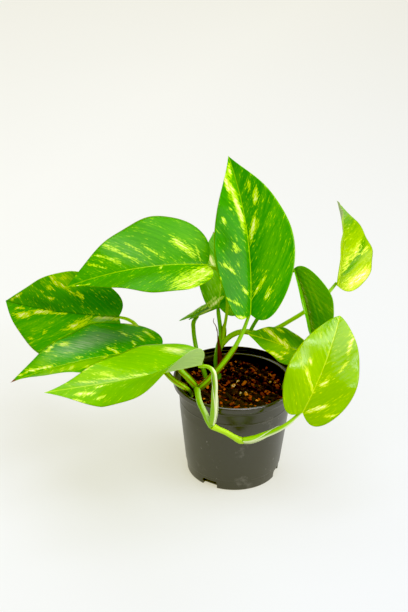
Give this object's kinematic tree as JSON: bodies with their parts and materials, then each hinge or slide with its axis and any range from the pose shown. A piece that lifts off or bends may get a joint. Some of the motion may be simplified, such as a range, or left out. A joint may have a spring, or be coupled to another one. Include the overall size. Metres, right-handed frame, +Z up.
{
  "type": "potted pothos plant",
  "caption": "Young trailing pothos with heart-shaped variegated leaves on arching petioles, standing in soil in a black round nursery pot with a rim band and drain notches.",
  "frame": {"origin": "centre of the pot's flat base, on the surface it stands on", "axes": "+Z up along the pot's axis, -Y towards the front, where the vine hangs over the rim, +X to the viewer's right"},
  "size_m": [0.3253, 0.2322, 0.2545],
  "materials": {
    "black_polypropylene": "satin",
    "potting_soil": "matte",
    "vine_green": "satin",
    "dry_sheath": "matte",
    "leaf_mid_green": "satin",
    "leaf_lime": "satin",
    "leaf_dark_green": "satin"
  },
  "bodies": {
    "root": {"pot": "black_polypropylene", "soil": "potting_soil", "stem_centre": "vine_green", "stem_left": "vine_green", "stem_small_left": "vine_green", "stem_small_right": "vine_green", "vine_front": "vine_green", "dried_sheath": "dry_sheath", "blade_back_centre": "leaf_dark_green", "blade_far_left": "leaf_dark_green", "blade_front_left": "leaf_lime", "blade_hanging_right": "leaf_dark_green", "blade_high_left": "leaf_mid_green", "blade_high_right": "leaf_lime", "blade_low_left": "leaf_dark_green", "blade_low_right": "leaf_lime", "blade_small_left": "leaf_mid_green", "blade_small_right": "leaf_mid_green", "blade_upright_centre": "leaf_mid_green"}
  },
  "joints": []
}
